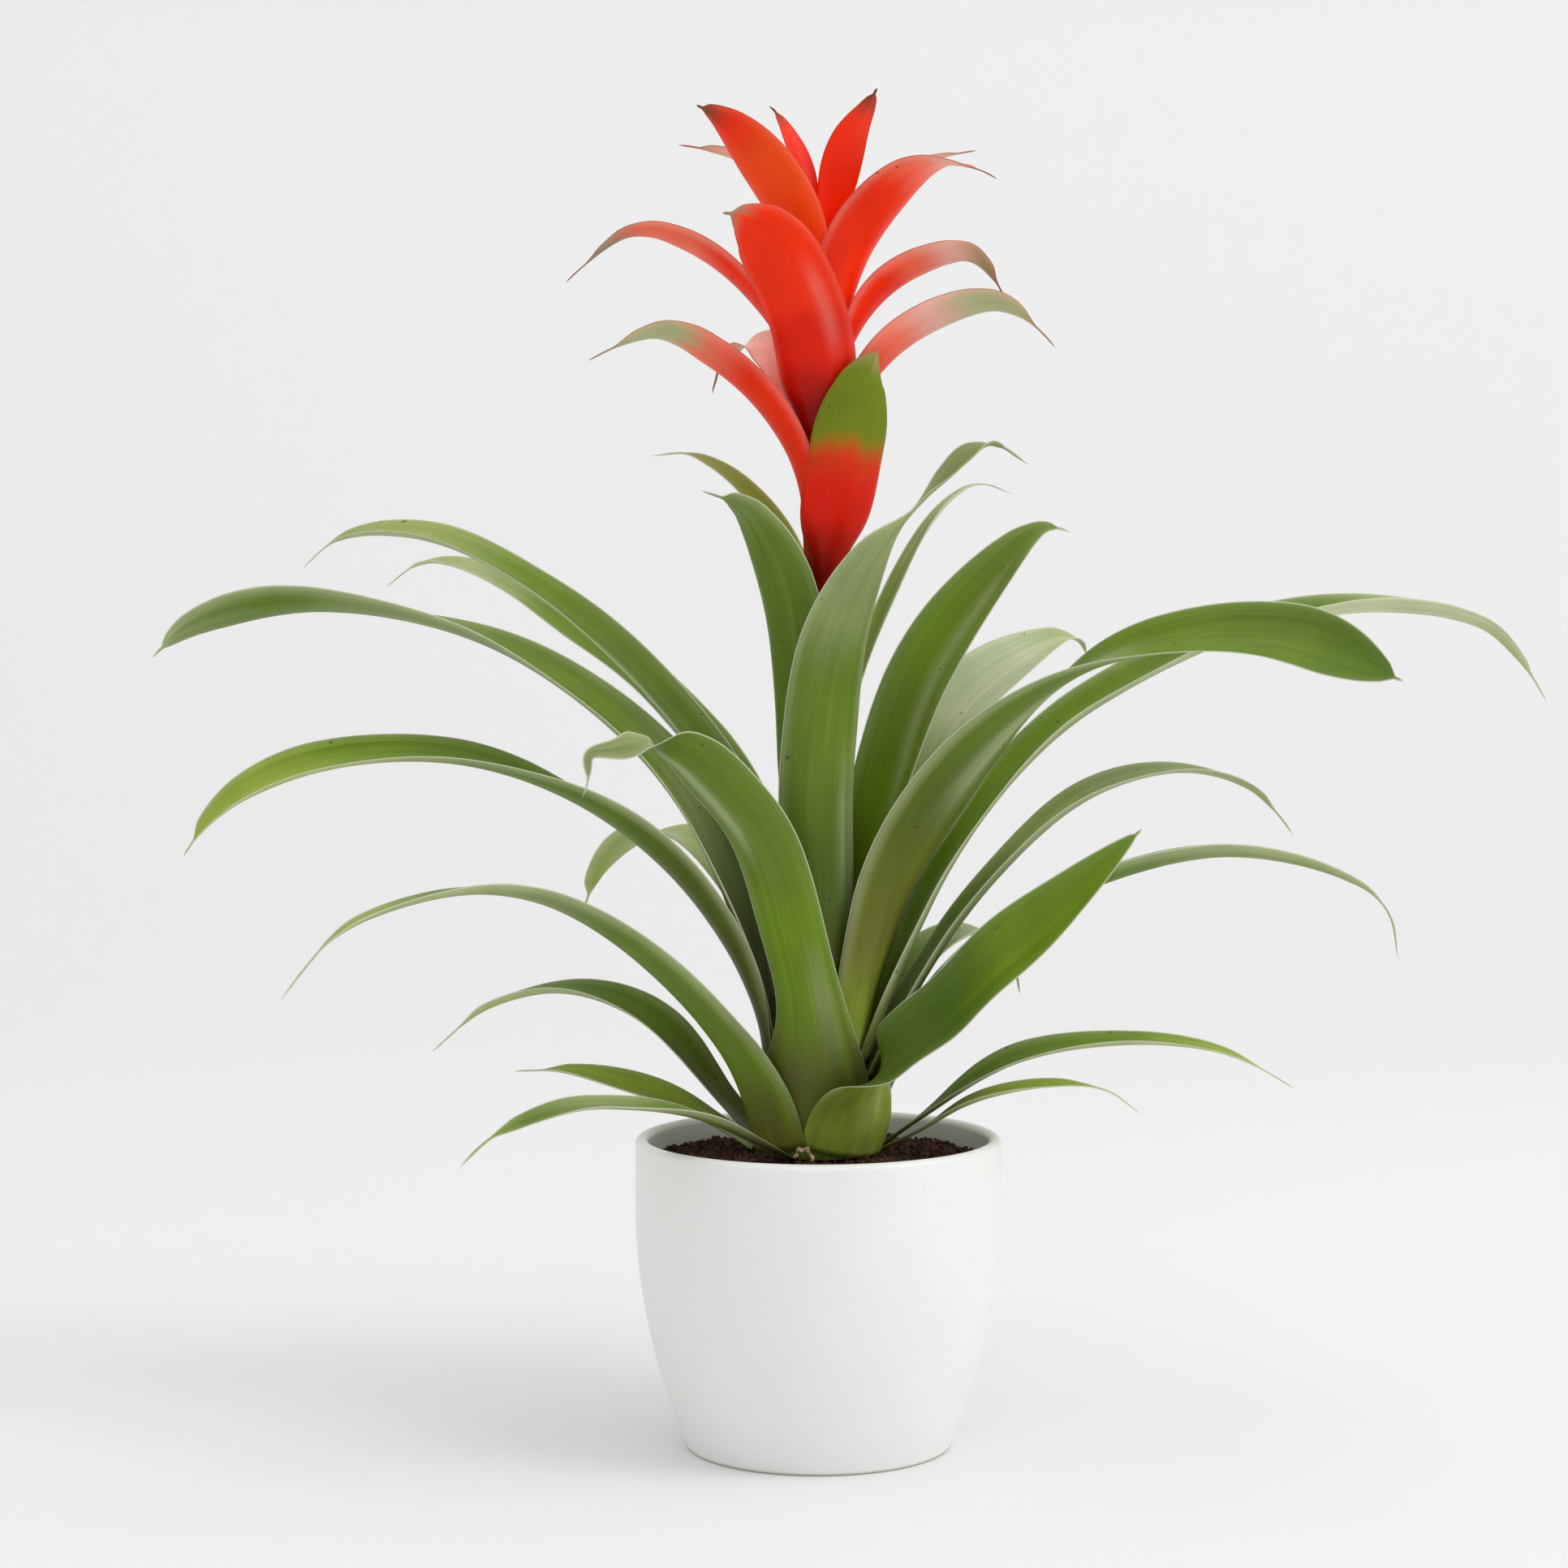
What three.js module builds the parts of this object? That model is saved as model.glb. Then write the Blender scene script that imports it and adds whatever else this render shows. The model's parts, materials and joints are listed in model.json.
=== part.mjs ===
// A potted bromeliad: a rosette of arching strap leaves round a short stem, with a flower spike of
// broad red bracts above them, planted in a plain round pot of white ceramic.
// Millimetres, +Z up. The origin is the centre of the pot's foot, on the surface it stands on.
// +X is to the right and -Y is the front. A leaf's azimuth runs anticlockwise from +X, seen from above.
import * as THREE from "three";

// ---- Driving dimensions ----
const POT_HEIGHT = 117.5;
const POT_RADIUS = 70; // at the belly, just under the rim
const FOOT_RADIUS = 50;
const BELLY_HEIGHT = 92; // above this the wall is upright
const WALL = 5;
const FLOOR = 6;
const FOOT_GROOVE = { inner: 36, outer: 41, depth: 1 }; // round the underside, inside the foot ring
const SOIL_LEVEL = { atWall: 108.5, atStock: 112 };
const GAP = 0.3; // between pieces that touch
const STOCK = { radius: 24, top: 212, rootRadius: 10, rootDepth: 34 }; // the short thick stem
const SCAPE = { radius: 4.5, tipRadius: 2.5, top: 462 }; // the flower stalk above it
const LEAF = { thickness: 0.8, rings: 17, gutter: 24, sheath: 30, cup: 80 };
const BRACT = { thickness: 0.7, rings: 12, gutter: 28, sheath: 30, cup: 50 };
const ACROSS = 3; // facets across a leaf

// ---- The plant ----
// One row is one leaf: its name, azimuth, greatest width, the half angle that its sheath wraps round
// the stem, the rolls of its blade at equal steps out to the tip, the share of its length that stays
// broad, the height where it leaves the stem, and its midrib as [reach, height, aside] knots.
// Angles are in degrees. A positive roll turns the upper face to the leaf's own right.
const LEAVES = [
  ["leaf_left_low_front", 239, 15, 10, [-10, -10, 0], 0.4, 112.8,
    [[40, 119, 0], [67, 132, -13], [88, 137, -28], [103, 137, -45], [117, 127, -68],
      [121, 119, -76]]],
  ["leaf_right_low_front", 350, 12, 10, [10, 10, 0], 0.3, 112.8,
    [[40, 121, -2], [61, 133, -5], [90, 140, -8], [112, 139, -10], [121, 134, -10]]],
  ["leaf_left_low_back", 172, 17, 16, [-20, -20, 0], 0.4, 112.6,
    [[36, 119], [59, 130], [98, 140], [117, 140]]],
  ["leaf_right_low", 356, 20, 16, [20, 10, 0], 0.5, 114,
    [[40, 125], [75, 147], [115, 154], [152, 151], [180, 139]]],
  ["leaf_left_5", 156, 21, 16, [-12, -5, -5], 0.5, 115,
    [[38, 131, 7], [66, 160, 13], [98, 170, 20], [129, 163, 26], [150, 148, 31]]],
  ["leaf_right_front", 296, 28, 38, [5, 75, 88, 88, 88, 88, 88, 88, 88, 88], 0.55, 113,
    [[32, 133, 3], [41, 147, 6], [53, 160, 12], [63, 171, 22], [93, 192, 27], [126, 214, 36],
      [161, 243, 46]]],
  ["leaf_left_4", 221, 24, 37, [0, 4, 4], 0.3, 113.8,
    [[31, 139, -5], [45, 165, -17], [75, 195, -31], [102, 210, -42], [128, 213, -57],
      [166, 201, -74], [185, 182, -82]]],
  ["leaf_back_low_right", 82, 24, 34, [0, 0, 0], 0.5, 124,
    [[36, 150], [70, 172], [112, 178], [150, 158]]],
  ["leaf_front", 260, 26, 56, [0, 0, 0, 0, -10, -30], 0.85, 121,
    [[28, 160, 2], [33, 195, -4], [42, 232, -14], [53, 252, -27], [61, 264, -39], [69, 269, -52],
      [76, 265, -63], [81, 254, -71]]],
  ["leaf_back_right_low", 46, 24, 38, [0, 0, 0], 0.5, 130,
    [[38, 156], [60, 180], [90, 189], [110, 182], [118, 166]]],
  ["leaf_back_low_left", 105, 26, 40, [0, 0, 0], 0.5, 132,
    [[34, 168], [66, 206], [110, 214], [150, 194]]],
  ["leaf_right_4", 6, 18, 38, [-10, -5, 0], 0.3, 125,
    [[44, 167], [63, 188], [100, 209], [155, 223], [200, 216], [222, 203], [226, 188]]],
  ["leaf_left_3", 183, 30, 28, [15, -15, -25], 0.8, 138,
    [[25, 168], [51, 212], [89, 243], [139, 261], [190, 259], [226, 243], [240, 227]]],
  ["leaf_right_3", 14, 22, 38, [-5, 10, -10], 0.5, 138,
    [[34, 164], [65, 208], [107, 245], [145, 255], [175, 248], [193, 232]]],
  ["leaf_back_left", 122, 28, 28, [0, 0, -20], 0.6, 143,
    [[32, 185], [57, 211, 4], [90, 226, 8], [120, 224, 11], [150, 208, 14], [163, 193, 15]]],
  ["leaf_left_2", 180, 28, 34, [-30, 0, 35], 0.85, 147,
    [[25, 178], [49, 242], [84, 280], [134, 308], [198, 319], [239, 311], [254, 302]]],
  ["leaf_right_2", 8, 25, 40, [15, 12, -5], 0.7, 145,
    [[32, 181], [57, 231], [89, 268], [124, 291], [173, 311], [222, 318], [266, 310], [288, 287]]],
  ["leaf_right_1", 334, 32, 48, [-30, 25, 50], 0.85, 150,
    [[22, 179, 2], [35, 222, 4], [67, 266, 7], [104, 295, 11], [143, 307, 15], [180, 307, 19],
      [223, 293, 23]]],
  ["leaf_left_1_under", 139, 22, 28, [-15, -15, -15], 0.6, 160,
    [[20, 201], [46, 251], [85, 284], [127, 308], [166, 327], [200, 337], [224, 338], [242, 331]]],
  ["leaf_left_1", 160, 24, 36, [-18, -10, -20], 0.8, 169,
    [[18, 205], [36, 246], [74, 292], [115, 324], [161, 346], [201, 348], [219, 340]]],
  ["leaf_front_upright", 285, 31, 50, [0, 30, 105], 0.5, 167,
    [[17, 218, -4], [21, 265, -4], [27, 306, 1], [39, 343, 16], [51, 368, 36], [60, 380, 49],
      [65, 374, 60]]],
  ["leaf_back_high", 92, 24, 26, [0, 0, 0], 0.6, 157,
    [[26, 203], [50, 245], [80, 262], [112, 250]]],
  ["leaf_back_right", 40, 28, 34, [25, 30, 20], 0.6, 175,
    [[22, 212], [41, 244], [72, 280], [109, 301], [136, 307], [145, 298]]],
  ["leaf_right_upright", 18, 28, 42, [35, 45, 45], 0.6, 181,
    [[18, 215], [26, 245], [41, 290], [66, 326], [91, 350], [102, 350]]],
  ["leaf_front_left_upright", 235, 28, 45, [0, 0, 0], 0.7, 184,
    [[10, 225, 0], [12, 288, -3], [18, 330, -6], [26, 357, -18], [30, 363, -30]]],
  ["leaf_back_left_upright", 125, 18, 36, [0, 0, 0], 0.5, 190,
    [[10, 240], [13, 300, -2], [18, 345, 6], [31, 370, 20], [40, 379, 36], [44, 378, 44]]],
  ["leaf_back_upright", 45, 8, 30, [0, 0, 0], 0.6, 196,
    [[9, 235], [18, 282], [40, 325], [68, 358], [90, 369], [106, 367]]],
];

const BRACTS = [
  ["bract_1_green_tipped", 285, 31, 50, [0, 0, 0], 0.6, 321,
    [[14, 359, 5], [19, 396, 10], [21, 409, 13], [21, 417, 18]]],
  ["bract_2", 196, 24, 45, [10, 20, 20], 0.5, 334,
    [[8, 370], [20, 393], [39, 412], [60, 423], [88, 414]]],
  ["bract_3", 99, 20, 34, [0, 0, 0], 0.6, 346,
    [[14, 385, 0], [22, 406, 6], [28, 418, 13], [32, 425, 20], [36, 427, 27], [39, 422, 32],
      [40, 411, 34]]],
  ["bract_4", 2, 24, 42, [-25, -30, -10], 0.5, 360,
    [[10, 388], [29, 418], [56, 434], [71, 435], [90, 422]]],
  ["bract_5", 262, 32, 50, [0, 0, 0], 0.7, 370,
    [[12, 395, 1], [18, 424, -1], [25, 452, -12], [28, 466, -24], [26, 468, -32]]],
  ["bract_back", 90, 22, 30, [0, 0, 0], 0.5, 376,
    [[10, 405], [24, 424], [40, 431], [56, 422]]],
  ["bract_6", 178, 22, 36, [10, 20, 0], 0.4, 384,
    [[10, 411], [21, 431], [44, 454], [70, 463], [96, 446]]],
  ["bract_7", 2, 24, 42, [-25, -25, -10], 0.5, 392,
    [[9, 410], [21, 435], [36, 448], [58, 454], [72, 439]]],
  ["bract_8", 322, 28, 40, [-10, -10, 0], 0.5, 403,
    [[10, 425], [15, 450], [29, 469], [52, 484], [81, 480]]],
  ["bract_9", 236, 26, 34, [0, 0, 0], 0.6, 414,
    [[8, 440, 0], [13, 470, -5], [21, 492, -16], [27, 506, -28], [30, 511, -36]]],
  ["bract_10", 160, 15, 30, [0, 20, 25], 0.4, 424,
    [[7, 450], [20, 481], [34, 493], [56, 499]]],
  ["bract_11", 30, 13, 30, [0, -10, -15], 0.4, 428,
    [[8, 452], [22, 478], [42, 491], [70, 499]]],
  ["bract_12", 60, 21, 34, [0, 0, 0], 0.5, 442,
    [[7, 472, -4], [12, 500, -8], [18, 513, -12], [21, 520, -14]]],
  ["bract_13", 130, 14, 34, [0, 0, 0], 0.4, 450,
    [[7, 476, 0], [11, 492, 1], [16, 505, 4], [20, 513, 7]]],
];

// ---- Shared shapes ----

// A closed profile of [radius, height] points, turned about Z.
function turned(profile, segments) {
  const points = profile.map(([radius, height]) => new THREE.Vector2(radius, height));
  return new THREE.LatheGeometry(points, segments).rotateX(Math.PI / 2);
}

function stockRadius(height) {
  const share = (height - SOIL_LEVEL.atStock) / (STOCK.top - SOIL_LEVEL.atStock);
  return THREE.MathUtils.lerp(STOCK.radius, SCAPE.radius, THREE.MathUtils.clamp(share, 0, 1));
}

// A leaf or bract: a thin gutter-shaped blade swept along its midrib, whose sheath is an arc round the
// stem and whose end is a point. The blade narrows out of the sheath sooner than it opens flat.
function bladeGeometry([, azimuth, width, wrap, roll, broad, base, midrib], kind) {
  const turn = THREE.MathUtils.degToRad(azimuth);
  const out = new THREE.Vector3(Math.cos(turn), Math.sin(turn), 0);
  const side = new THREE.Vector3(-Math.sin(turn), Math.cos(turn), 0);
  const clearance = GAP + kind.thickness / 2;
  const sheathRadius = (stockRadius(base) + clearance) / Math.cos(THREE.MathUtils.degToRad(wrap / ACROSS));
  const knots = [[sheathRadius, base], ...midrib].map(([reach, height, aside = 0]) =>
    new THREE.Vector3(0, 0, height).addScaledVector(out, reach).addScaledVector(side, aside));
  const curve = new THREE.CatmullRomCurve3(knots, false, "centripetal");
  const length = curve.getLength();
  const twist = new THREE.SplineCurve([0, ...roll].map((degrees) => new THREE.Vector2(0, degrees)));
  const sheathAngle = THREE.MathUtils.degToRad(wrap);
  const gutterAngle = THREE.MathUtils.degToRad(kind.gutter);
  const sheathWidth = 2 * sheathAngle * sheathRadius;

  const positions = [];
  for (let i = 0; i < kind.rings; i++) {
    const u = i / kind.rings;
    const t = u + 0.08 * Math.sin(Math.PI * u); // closer together towards the tip
    const point = curve.getPointAt(t);
    const along = curve.getTangentAt(t);
    const right = side.clone().addScaledVector(along, -side.dot(along)).normalize();
    const up = along.clone().cross(right);
    const angle = THREE.MathUtils.degToRad(twist.getPoint(t).y);
    const across = right.clone().multiplyScalar(Math.cos(angle)).addScaledVector(up, Math.sin(angle));
    const inward = up.multiplyScalar(Math.cos(angle)).addScaledVector(right, -Math.sin(angle));
    const sheath = Math.exp(-(((t * length) / kind.sheath) ** 2));
    const cup = Math.exp(-(((t * length) / kind.cup) ** 2));
    across.lerp(side, sheath).normalize();
    inward.lerp(out.clone().negate(), sheath).normalize();
    const taper = t < broad ? 1 : 1 - ((t - broad) / (1 - broad)) ** 2.2;
    const half = THREE.MathUtils.lerp(gutterAngle, sheathAngle, cup);
    const ringWidth = THREE.MathUtils.lerp(width * taper, sheathWidth, sheath);
    const radius = ringWidth / (2 * half);
    for (const face of [1, -1]) {
      for (let k = 0; k <= ACROSS; k++) {
        const theta = half * face * (1 - (2 * k) / ACROSS);
        const lift = radius - face * kind.thickness / 2;
        positions.push(point.clone()
          .addScaledVector(across, lift * Math.sin(theta))
          .addScaledVector(inward, radius - lift * Math.cos(theta)));
      }
    }
  }
  positions.push(curve.getPointAt(1));

  const ring = 2 * (ACROSS + 1);
  const tip = positions.length - 1;
  const faces = [];
  for (let i = 0; i < kind.rings - 1; i++) {
    for (let k = 0; k < ring; k++) {
      const a = i * ring + k;
      const b = i * ring + ((k + 1) % ring);
      if (k <= ACROSS) {
        faces.push(a, b, b + ring, a, b + ring, a + ring);
      } else {
        faces.push(a, b, a + ring, b, b + ring, a + ring); // the under face is cut as the upper one is
      }
    }
  }
  for (let k = 0; k < ring; k++) {
    faces.push(tip - ring + k, tip - ring + ((k + 1) % ring), tip);
  }
  for (let k = 0; k < ACROSS; k++) {
    const opposite = ring - 1 - k;
    faces.push(k, opposite, k + 1, k + 1, opposite, opposite - 1);
  }
  return new THREE.BufferGeometry().setFromPoints(positions).setIndex(faces);
}

// ---- Pot ----
function potRadius(height) {
  const drop = Math.max(0, (BELLY_HEIGHT - height) / BELLY_HEIGHT);
  return POT_RADIUS - (POT_RADIUS - FOOT_RADIUS) * drop ** 2;
}

function innerRadius(height) {
  return potRadius(height) - WALL;
}

function wallLine(radiusAt, from, to, steps) {
  return Array.from({ length: steps + 1 }, (_, i) => {
    const height = THREE.MathUtils.lerp(from, to, i / steps);
    return [radiusAt(height), height];
  });
}

function potGeometry() {
  const lip = WALL / 2;
  const lipHeight = POT_HEIGHT - lip;
  const rim = Array.from({ length: 5 }, (_, i) => {
    const angle = (Math.PI * (i + 1)) / 6;
    return [POT_RADIUS - lip + lip * Math.cos(angle), lipHeight + lip * Math.sin(angle)];
  });
  const profile = [
    [0, 0],
    [FOOT_GROOVE.inner, 0],
    [FOOT_GROOVE.inner + 1, FOOT_GROOVE.depth],
    [FOOT_GROOVE.outer - 1, FOOT_GROOVE.depth],
    [FOOT_GROOVE.outer, 0],
    [FOOT_RADIUS - 1, 0],
    ...wallLine(potRadius, 1, lipHeight, 14),
    ...rim,
    ...wallLine(innerRadius, lipHeight, FLOOR + 5, 12),
    [innerRadius(FLOOR) - 6, FLOOR],
    [0, FLOOR],
  ];
  return turned(profile, 48);
}

// ---- Soil ----
function soilGeometry() {
  const clear = (height) => innerRadius(height) - GAP;
  const bottom = FLOOR + GAP;
  const hole = STOCK.rootRadius + GAP;
  const profile = [
    [0, bottom],
    [clear(FLOOR) - 6, bottom],
    ...wallLine(clear, FLOOR + 5 + GAP, SOIL_LEVEL.atWall, 8),
    [STOCK.radius + 8, SOIL_LEVEL.atStock - GAP],
    [hole, SOIL_LEVEL.atStock - GAP],
    [hole, SOIL_LEVEL.atStock - STOCK.rootDepth - GAP],
    [0, SOIL_LEVEL.atStock - STOCK.rootDepth - GAP],
  ];
  return turned(profile, 40);
}

// ---- Stem ----
function stemGeometry() {
  const level = SOIL_LEVEL.atStock;
  const profile = [
    [0, level - STOCK.rootDepth],
    [STOCK.rootRadius - 3, level - STOCK.rootDepth],
    [STOCK.rootRadius, level - STOCK.rootDepth + 8],
    [STOCK.rootRadius, level],
    [STOCK.radius, level],
    [SCAPE.radius, STOCK.top],
    [SCAPE.tipRadius, SCAPE.top - 4],
    [0, SCAPE.top],
  ];
  return turned(profile, 20);
}

// ---- Finishes ----
const ceramic = new THREE.MeshStandardMaterial({ color: 0xf2f2f0, roughness: 0.45, metalness: 0 });
const peat = new THREE.MeshStandardMaterial({ color: 0x3b2418, roughness: 1, metalness: 0 });
const stemGreen = new THREE.MeshStandardMaterial({ color: 0x8a9a4a, roughness: 0.7, metalness: 0 });
const leafGreen = new THREE.MeshStandardMaterial({ color: 0x4f7d25, roughness: 0.4, metalness: 0 });
const bractRed = new THREE.MeshStandardMaterial({ color: 0xe0260c, roughness: 0.4, metalness: 0 });

function piece(name, geometry, material) {
  const mesh = new THREE.Mesh(geometry, material);
  mesh.name = name;
  return mesh;
}

const bromeliad = new THREE.Group();
bromeliad.add(
  piece("pot", potGeometry(), ceramic),
  piece("soil", soilGeometry(), peat),
  piece("stem", stemGeometry(), stemGreen),
  ...LEAVES.map((row) => piece(row[0], bladeGeometry(row, LEAF), leafGreen)),
  ...BRACTS.map((row) => piece(row[0], bladeGeometry(row, BRACT), bractRed)),
);
export default bromeliad;
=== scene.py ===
# A potted bromeliad: a rosette of arching strap leaves and an upright spike of red bracts, growing in
# dark peat in a plain white cover pot. Lengths are in metres, +Z is up and -Y is the front.
import json
import math
from types import SimpleNamespace

import bmesh
import bpy
import numpy as np
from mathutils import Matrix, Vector

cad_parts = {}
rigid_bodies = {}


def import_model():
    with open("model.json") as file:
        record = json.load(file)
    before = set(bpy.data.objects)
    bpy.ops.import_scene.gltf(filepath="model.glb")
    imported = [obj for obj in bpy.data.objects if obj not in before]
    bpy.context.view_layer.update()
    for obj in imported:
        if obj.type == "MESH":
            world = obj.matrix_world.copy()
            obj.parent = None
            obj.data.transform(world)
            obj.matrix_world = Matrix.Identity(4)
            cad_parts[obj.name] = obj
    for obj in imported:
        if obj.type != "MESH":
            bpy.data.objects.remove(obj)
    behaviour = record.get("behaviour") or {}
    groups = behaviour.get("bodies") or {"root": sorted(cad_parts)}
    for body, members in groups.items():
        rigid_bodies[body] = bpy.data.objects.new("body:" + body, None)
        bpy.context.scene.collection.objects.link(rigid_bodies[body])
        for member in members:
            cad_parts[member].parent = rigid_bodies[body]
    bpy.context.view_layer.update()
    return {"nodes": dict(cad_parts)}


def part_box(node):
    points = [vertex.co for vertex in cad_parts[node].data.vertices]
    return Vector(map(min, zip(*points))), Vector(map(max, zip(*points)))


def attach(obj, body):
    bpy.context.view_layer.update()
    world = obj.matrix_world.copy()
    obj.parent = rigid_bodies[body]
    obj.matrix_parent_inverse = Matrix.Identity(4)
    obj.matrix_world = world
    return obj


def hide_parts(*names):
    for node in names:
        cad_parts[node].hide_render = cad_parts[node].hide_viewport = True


for stray in list(bpy.data.objects):
    bpy.data.objects.remove(stray)
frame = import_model()
MM = 0.001

# ---- Cover pot ----
# A slip-cast ceramic pot with a satin white glaze: a tapered belly, an upright band, a rounded lip and
# an unglazed foot ring round a shallow groove. It is turned from one outline, as the real one is cast.
POT_RADIUS = 70 * MM
FOOT_RADIUS = 50 * MM
BELLY_HEIGHT = 92 * MM
POT_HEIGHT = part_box("pot")[1][2]
POT_WALL = 5 * MM
POT_FLOOR = 6 * MM
FOOT_FILLET = 1.6 * MM
GROOVE_INNER, GROOVE_OUTER, GROOVE_DEPTH, GROOVE_SLOPE = 36 * MM, 41 * MM, 1 * MM, 1 * MM
INSIDE_CORNER = 9 * MM
POT_SEGMENTS = 144
BISCUIT_WHITE = "#d9d4c9"


def paint(hex_colour):
    """A linear RGBA colour from a hex code as a paint chart gives it."""
    channels = [int(hex_colour[i : i + 2], 16) / 255 for i in (1, 3, 5)]
    linear = [c / 12.92 if c <= 0.04045 else ((c + 0.055) / 1.055) ** 2.4 for c in channels]
    return (*linear, 1.0)


def grey(level):
    return (level, level, level, 1.0)


def feed(links, node, inputs):
    """Joins each input of a node to a socket, or sets it where it is a plain value."""
    for socket, value in inputs.items():
        if isinstance(value, bpy.types.NodeSocket):
            links.new(value, node.inputs[socket])
        else:
            node.inputs[socket].default_value = value


class Finish:
    """A node material with a Principled shader, and short calls that add and join its nodes."""

    def __init__(self, name):
        self.material = bpy.data.materials.new(name)
        self.material.use_nodes = True
        self.nodes, self.links = self.material.node_tree.nodes, self.material.node_tree.links
        self.place = self.add("TexCoord").outputs["Object"]

    def add(self, kind, inputs=None, **settings):
        node = self.nodes.new(f"ShaderNode{kind}")
        for setting, value in settings.items():
            setattr(node, setting, value)
        feed(self.links, node, inputs or {})
        return node

    def noise(self, vector, scale, detail):
        return self.add("TexNoise", {"Vector": vector, "Scale": scale, "Detail": detail}).outputs["Fac"]

    def ramp(self, factor, stops):
        node = self.add("ValToRGB", {"Fac": factor})
        elements = node.color_ramp.elements
        while len(elements) < len(stops):
            elements.new(0.5)
        for element, (position, colour) in zip(elements, stops):
            element.position = position
            element.color = colour
        return node.outputs["Color"]

    def mix(self, factor, a, b, blend="MIX"):
        node = self.add("Mix", {0: factor, 6: a, 7: b}, data_type="RGBA", blend_type=blend)
        return node.outputs[2]

    def remap(self, value, before, after):
        """Carries a value from the range `before` over to the range `after`."""
        (low, high), (to_low, to_high) = before, after
        ends = {"From Min": low, "From Max": high, "To Min": to_low, "To Max": to_high}
        return self.add("MapRange", {"Value": value, **ends}).outputs["Result"]

    def bump(self, height, strength, distance, **more):
        inputs = {"Height": height, "Strength": strength, "Distance": distance, **more}
        return self.add("Bump", inputs).outputs["Normal"]

    def surface(self, inputs):
        """Gives the shader its inputs, and hands over the finished material."""
        feed(self.links, self.nodes["Principled BSDF"], inputs)
        return self.material


def mesh_object(name, points, faces, material):
    """A smooth-shaded mesh object at the origin."""
    mesh = bpy.data.meshes.new(name)
    mesh.from_pydata([tuple(p) for p in points], [], faces)
    mesh.materials.append(material)
    mesh.shade_smooth()
    thing = bpy.data.objects.new(name, mesh)
    bpy.context.scene.collection.objects.link(thing)
    return thing


def turned(name, outline, segments, material):
    """An outline of (radius, height) points turned about Z, with its poles closed."""
    points, rows = [], []
    for radius, height in outline:
        if radius == 0:
            rows.append([len(points)] * segments)
            points.append((0, 0, height))
            continue
        rows.append([len(points) + k for k in range(segments)])
        for k in range(segments):
            turn = math.tau * k / segments
            points.append((radius * math.cos(turn), radius * math.sin(turn), height))
    faces = []
    for low, high in zip(rows, rows[1:]):
        for k in range(segments):
            after = (k + 1) % segments
            corners = [low[k], low[after], high[after], high[k]]
            faces.append([c for i, c in enumerate(corners) if c not in corners[:i]])
    return mesh_object(name, points, faces, material)


def pot_radius(height):
    drop = max(0.0, (BELLY_HEIGHT - height) / BELLY_HEIGHT)
    return POT_RADIUS - (POT_RADIUS - FOOT_RADIUS) * drop**2


def wall_line(inset, start, stop, steps):
    heights = [start + (stop - start) * i / steps for i in range(steps + 1)]
    return [(pot_radius(height) - inset, height) for height in heights]


def rounded(centre, radius, start, stop, steps):
    """Points of an arc in the outline, from one angle to another in degrees."""
    angles = [math.radians(start + (stop - start) * i / steps) for i in range(steps + 1)]
    return [(centre[0] + radius * math.cos(a), centre[1] + radius * math.sin(a)) for a in angles]


def pot_outline():
    lip = POT_WALL / 2
    foot = pot_radius(FOOT_FILLET) - FOOT_FILLET
    corner_height = POT_FLOOR + INSIDE_CORNER
    corner_centre = (pot_radius(corner_height) - POT_WALL - INSIDE_CORNER, corner_height)
    return [
        (0, 0.0),
        (GROOVE_INNER, 0.0),
        (GROOVE_INNER + GROOVE_SLOPE, GROOVE_DEPTH),
        (GROOVE_OUTER - GROOVE_SLOPE, GROOVE_DEPTH),
        (GROOVE_OUTER, 0.0),
        *rounded((foot, FOOT_FILLET), FOOT_FILLET, -90, 0, 6),
        *wall_line(0, FOOT_FILLET * 2, POT_HEIGHT - lip, 40),
        *rounded((POT_RADIUS - lip, POT_HEIGHT - lip), lip, 12, 168, 12),
        *wall_line(POT_WALL, POT_HEIGHT - lip, corner_height, 30),
        *rounded(corner_centre, INSIDE_CORNER, -12, -90, 6),
        (0, POT_FLOOR),
    ]


def glaze_finish():
    """A barely uneven white with pinholes and a faint orange peel, wiped off under the foot."""
    finish = Finish("satin_white_glaze")
    height = finish.add("SeparateXYZ", {"Vector": finish.place}).outputs["Z"]
    cloud = finish.noise(finish.place, 28.0, 3.0)
    glaze = finish.ramp(cloud, [(0.3, paint("#f1f1ef")), (0.7, paint("#f3f3f1"))])
    dust = finish.noise(finish.place, 900.0, 1.0)
    pinholes = finish.ramp(dust, [(0.69, grey(1.0)), (0.76, grey(0.93))])
    glaze = finish.mix(1.0, glaze, pinholes, "MULTIPLY")
    dipped = finish.remap(height, (0.6 * MM, FOOT_FILLET), (0, 1))
    orange_peel = finish.noise(finish.place, 260.0, 2.0)
    return finish.surface({
        "Base Color": finish.mix(dipped, paint(BISCUIT_WHITE), glaze),
        "Roughness": finish.remap(orange_peel, (0, 1), (0.36, 0.46)),
        "Normal": finish.bump(orange_peel, 0.18, 0.4 * MM),
        "Coat Weight": 0.15,
        "Coat Roughness": 0.3,
    })


cover_pot = turned("cover_pot", pot_outline(), POT_SEGMENTS, glaze_finish())
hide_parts("pot")
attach(cover_pot, "root")

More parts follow.
